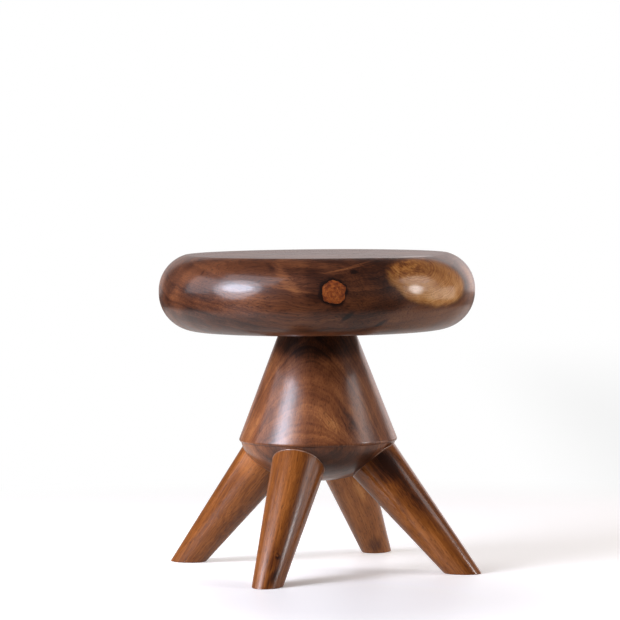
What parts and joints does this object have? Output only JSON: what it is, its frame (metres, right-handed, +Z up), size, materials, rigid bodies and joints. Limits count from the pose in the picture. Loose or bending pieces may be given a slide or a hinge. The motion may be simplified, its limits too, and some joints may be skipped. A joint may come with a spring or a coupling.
{
  "type": "stool",
  "caption": "Low round stool of turned hardwood: a thick seat with a rounded edge on a cone-shaped pedestal, with splayed tapered legs tenoned into its bowl",
  "frame": {"origin": "on the floor, on the axis of the seat and pedestal", "axes": "+Z up along the stool's axis, -Y towards the viewer of the front, +X to that viewer's right"},
  "size_m": [0.4338, 0.4332, 0.43],
  "materials": {
    "seat_wood": "turned, sanded and oiled to a satin gloss; dark brown heartwood with a patch of golden sapwood",
    "knot_wood": "turned flush with the seat, paler mottled end grain with a dark ring",
    "pedestal_wood": "turned, sanded and oiled to a satin gloss; swirling orange-brown figure",
    "leg_wood": "turned, sanded and oiled to a satin gloss; straight grain along the leg",
    "wedge_wood": "split and planed, raw"
  },
  "bodies": {
    "root": {"seat": "seat_wood", "seat_knot": "knot_wood", "pedestal": "pedestal_wood", "seat_tenon_wedge": "wedge_wood", "leg_front": "leg_wood", "leg_front_tenon_wedge": "wedge_wood", "leg_right": "leg_wood", "leg_right_tenon_wedge": "wedge_wood", "leg_back": "leg_wood", "leg_back_tenon_wedge": "wedge_wood", "leg_left": "leg_wood", "leg_left_tenon_wedge": "wedge_wood"}
  },
  "joints": []
}
